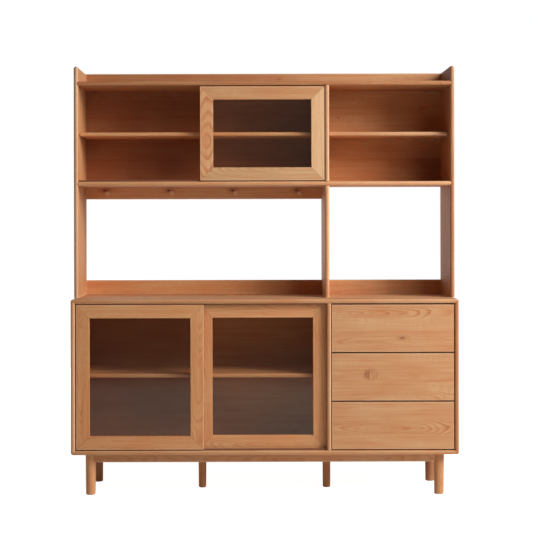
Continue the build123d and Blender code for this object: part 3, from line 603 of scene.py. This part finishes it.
# ---- the upper cabinet ----
# painted light and shade: the left side has wide pale edges, and the right side is darker, with narrow
# ones
board("hutch_side_left", "Z", "Y", 21, wear_and_highlight_reach=0.014)
board("hutch_side_right", "Z", "Y", 22, base=SHADED, wear_and_highlight_reach=0.003)
board("hutch_top_board", "X", "Y", 23, base=RUSSET, wear_and_highlight_reach=0.004)
board("hutch_lower_board", "X", "Y", 24, base=GOLD, change=Change(0.0, 0.4, PALE))
board("hutch_divider", "Z", "Y", 25, wear_and_highlight_reach=0.014)
board("niche_divider", "Z", "Y", 26, base=GOLD, wear_and_highlight_reach=0.014)
# painted light: the right end of the shelf, behind the pane, is paler
board("hutch_shelf_left", "X", "Y", 27, base=GOLD, wear_and_highlight_reach=0.004, change=Change(-0.27, -0.24, LIT_PALE))
board("hutch_shelf_right", "X", "Y", 28)
# painted shade: the back is darker left of the divider, with dark patches low beside the door and the
# right side; its knots are the wood's own
board("hutch_back", "X", "Z", 29, base=AMBER, stave_width=0.11, figure=0.6, inner=0.006,
      change=Change(0.256, 0.255, SHADED_BACK),
      knots=[Knot(-0.545, 1.33, 0.004), Knot(0.70, 1.63, 0.004), Knot(0.33, 1.59, 0.003)],
      shade_patches=[ShadePatch(-0.41, 1.38, 0.26, 0.16, 0.65), ShadePatch(0.74, 1.38, 0.22, 0.16, 0.65)])
board("gallery_rail", "X", "Z", 30, base=RUSSET, stave_width=0.2, knots=[Knot(0.07, 1.76, 0.004)],
      change=Change(-0.1, 0.4, HONEY))

# painted shadow: the rail is darkened at the upper left of each peg, and its pale tone is painted
# light
PEG_COUNT = 4
PEG_SHADOW = (-0.013, 0.012)    # from the middle of a peg
PEG_SHADOW_RADIUS = 0.0065
peg_low, peg_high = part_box("pegs")
peg_radius = (peg_high[2] - peg_low[2]) / 2
first_peg = peg_low[0] + peg_radius
peg_spacing = (peg_high[0] - peg_radius - first_peg) / (PEG_COUNT - 1)
board("peg_rail", "X", "Z", 31, stave_width=0.2, base=LIT_PALE, spot_tone=SHADE_AND_GLUE,
      knots=[Knot(first_peg + k * peg_spacing + PEG_SHADOW[0],
                  peg_low[2] + peg_radius + PEG_SHADOW[1], PEG_SHADOW_RADIUS)
             for k in range(PEG_COUNT)])
# the pegs' pale tone is painted light on their faces
board("pegs", "Y", "Z", 32, base=LIT_PEG_TONE)

# ---- the leg frame ----
# painted shade: the right back leg has a darker tone
LEG_TONES = {"front_left": GOLD, "front_right": HONEY, "back_left": AMBER, "back_right": SHADED_LEG}
board("apron_front", "X", "Z", 41, stave_width=0.2, base=PALE)
board("apron_back", "X", "Z", 42, stave_width=0.2, base=RUSSET)
board("side_aprons", "Y", "Z", 43, stave_width=0.2)
board("cross_rails", "Y", "Z", 44, stave_width=0.2)
for number, (leg, tone) in enumerate(LEG_TONES.items()):
    board("leg_" + leg, "Z", "X", LEG_SEED + number, base=tone)
# painted shade: a dark patch on the right middle leg
board("middle_legs", "Z", "X", 49, base=GOLD, staves=member_staves("middle_legs", "X", 49),
      shade_patches=[ShadePatch(0.08, 0.265, 0.6, 0.3, 0.28)])

# ---- door frames ----
FRAMES = (
    # node, axis of the grain, axis across it, tone
    ("door_left_stiles", "Z", "X", GOLD),
    ("door_left_rails", "X", "Z", GOLD),
    ("door_right_stiles", "Z", "X", GOLD),
    ("door_right_rails", "X", "Z", GOLD),
    ("hutch_door_stiles", "Z", "X", PALE),
    ("hutch_door_rails", "X", "Z", HONEY),
)
for number, (node, along, across, tone) in enumerate(FRAMES):
    staves = member_staves(node, across, MEMBER_SEED + number)
    if node == "hutch_door_stiles":
        # arches over an oval on the left, and the pale stile on the right
        staves[0] = staves[0]._replace(centre=staves[0].start + 0.027, depth=0.0255, slope=0.25,
                                       eye=-0.033, ring=0.012, marked=1.9, tint=0.0)
        staves[1] = staves[1]._replace(tint=4.8, marked=1.5)
    elif node == "hutch_door_rails":
        # the pale rail at the bottom
        staves[0] = staves[0]._replace(tint=3.0)
    board(node, along, across, FRAME_SEED + number, base=tone, gap_shade_from=0.002, staves=staves,
          mitre=(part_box(node), FRAME_WIDTH))

# ---- drawer fronts: three wide staves each; places are from the lower left corner ----
Front = namedtuple("Front", "staves knots ripple", defaults=((), None))
DRAWER_FRONTS = {
    # staves: start, centre, depth, slope, eye, ring, marked, tint
    "drawer_1_front": Front(
        staves=[Stave(0.0, 0.05, 0.03, -0.03, -1.5, 0.0055, 0.8, -0.2),
                Stave(0.0845, 0.16, 0.06, 0.02, 1.5, 0.006, 0.3, 0.6),
                Stave(0.1405, 0.162, 0.016, 0.115, -1.5, 0.005, 1.0, -0.5)],
        knots=[Knot(0.291, 0.058, 0.007)]),
    "drawer_2_front": Front(
        staves=[Stave(0.0, 0.0, 0.02, 0.05, 0.0, 0.006, 0.9, 0.0),
                Stave(0.072, 0.10, 0.05, 0.03, -1.2, 0.006, 0.4, 0.2),
                Stave(0.128, 0.25, 0.05, -0.04, 1.2, 0.006, 0.4, 0.1)],
        ripple=Ripple(0.159, 0.109, 0.036, 0.026)),
    "drawer_3_front": Front(
        staves=[Stave(0.0, -0.03, 0.04, 0.03, -1.2, 0.006, 0.5, 0.1),
                Stave(0.060, 0.088, 0.014, 0.12, -0.064, 0.0055, 1.0, -0.7),
                Stave(0.1195, 0.21, 0.03, 0.05, 1.2, 0.006, 0.5, 0.4)]),
}


def from_corner(mark, corner):
    """A knot or ripple whose place is taken from the lower left corner of a front."""
    return mark._replace(along=corner[0] + mark.along, across=corner[2] + mark.across)


for number, (node, front) in enumerate(DRAWER_FRONTS.items()):
    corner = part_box(node)[0]
    board(node, "X", "Z", FRONT_SEED + number, gap_shade_from=-0.001,
          staves=[stave._replace(start=corner[2] + stave.start, centre=corner[2] + stave.centre)
                  for stave in front.staves],
          knots=[from_corner(dark_spot, corner) for dark_spot in front.knots],
          ripple=front.ripple and from_corner(front.ripple, corner))

# ---- fittings ----
glass = smoked_glass()
steel = brushed_steel()
track = plain("track_plastic", TRACK, 0.5, shade=0.12)
nylon = plain("nylon", NYLON, 0.4, shade=0.1)
for node in nodes:
    if node.endswith("_glass"):
        dress(node, glass)
    elif node.endswith("_runners") or node in ("frame_bolts", "shelf_supports"):
        dress(node, steel)
    elif node.endswith("_tracks"):
        dress(node, track)
    elif node.endswith("_glides"):
        dress(node, nylon)
    elif node.startswith("drawer") and node.endswith(("_box", "_bottom")):
        board(node, "Y", "X", BOX_SEED + len(node), base=INSIDE, figure=0.5, rough=0.55)
board("hutch_dowels", "Z", "Y", 120, base=INSIDE, rough=0.55)
dress("foot_pads", plain("felt", FELT, 0.9, grain=900.0, shade=0.25))


# ---- studio ----
def pale_floor():
    """Floor that glows white where it is the background, keeps the shadow, and shows in panes."""
    half = FLOOR_SIZE / 2
    mesh = bpy.data.meshes.new("floor")
    mesh.from_pydata([(-half, -half, 0), (half, -half, 0), (half, half, 0), (-half, half, 0)],
                     [], [(0, 1, 2, 3)])
    tree = Tree(bpy.data.materials.new("floor"))
    rays = tree.add("LightPath").node.outputs
    place = tree.place()
    away = tree.add("VectorMath", {0: place}, 1, operation="LENGTH")
    lift = tree.span(away, *SHADOW_REACH, SHADOW_LIFT, 1.0)
    front = tree.span(tree.split(place)[1], *FLOOR_FADE, 0.0, FLOOR_MIRRORED)
    seen = tree.math("MAXIMUM", rays["Is Camera Ray"], rays["Is Transmission Ray"])
    mirrored = tree.product(rays["Is Glossy Ray"], front)
    glow = tree.add("Emission", {"Color": WHITE,
                                 "Strength": tree.math("MULTIPLY_ADD", seen, lift, mirrored)})
    matt = tree.add("BsdfDiffuse", {"Color": FLOOR_TONE})
    tree.end(tree.add("AddShader", {0: matt, 1: glow}))
    mesh.materials.append(tree.owner)
    return bpy.data.objects.new("floor", mesh)


def lamp(name, place, size, watts):
    """Square soft box that looks at the middle of the cabinet."""
    data = bpy.data.lights.new(name, "AREA")
    data.shape = "SQUARE"
    data.size = size
    data.energy = watts
    light = bpy.data.objects.new(name, data)
    light.location = place
    light.rotation_euler = (AIM - Vector(place)).to_track_quat("-Z", "Y").to_euler()
    bpy.context.scene.collection.objects.link(light)
    light.visible_camera = False


def studio_world():
    """World that is white where it is the background, and dim as light and as the panes' room."""
    tree = Tree(bpy.data.worlds.new("studio"))
    rays = tree.add("LightPath").node.outputs
    seen = tree.math("MAXIMUM", rays["Is Camera Ray"], rays["Is Transmission Ray"])
    mirrored = tree.product(rays["Is Glossy Ray"], ROOM_MIRRORED)
    fill = tree.product(rays["Is Diffuse Ray"], WORLD_FILL)
    strength = tree.total(tree.math("MAXIMUM", seen, mirrored), fill)
    tree.end(tree.add("Background", {"Color": WHITE, "Strength": strength}), "OutputWorld")
    return tree.owner


def photo_camera():
    """Camera of the photo."""
    data = bpy.data.cameras.new("camera")
    data.sensor_width = SENSOR
    data.lens = FOCAL / IMAGE * SENSOR
    data.shift_x = (IMAGE / 2 - PRINCIPAL[0]) / IMAGE
    data.shift_y = (PRINCIPAL[1] - IMAGE / 2) / IMAGE
    data.clip_end = CLIP_END
    camera = bpy.data.objects.new("camera", data)
    camera.location = EYE
    camera.rotation_euler = Euler((math.pi / 2, ROLL, 0.0), "XYZ")
    bpy.context.scene.collection.objects.link(camera)
    return camera


floor = pale_floor()
bpy.context.scene.collection.objects.link(floor)
for setting in LAMPS:
    lamp(*setting)
bpy.context.scene.world = studio_world()
bpy.context.scene.camera = photo_camera()
bpy.context.scene.view_settings.view_transform = "Standard"
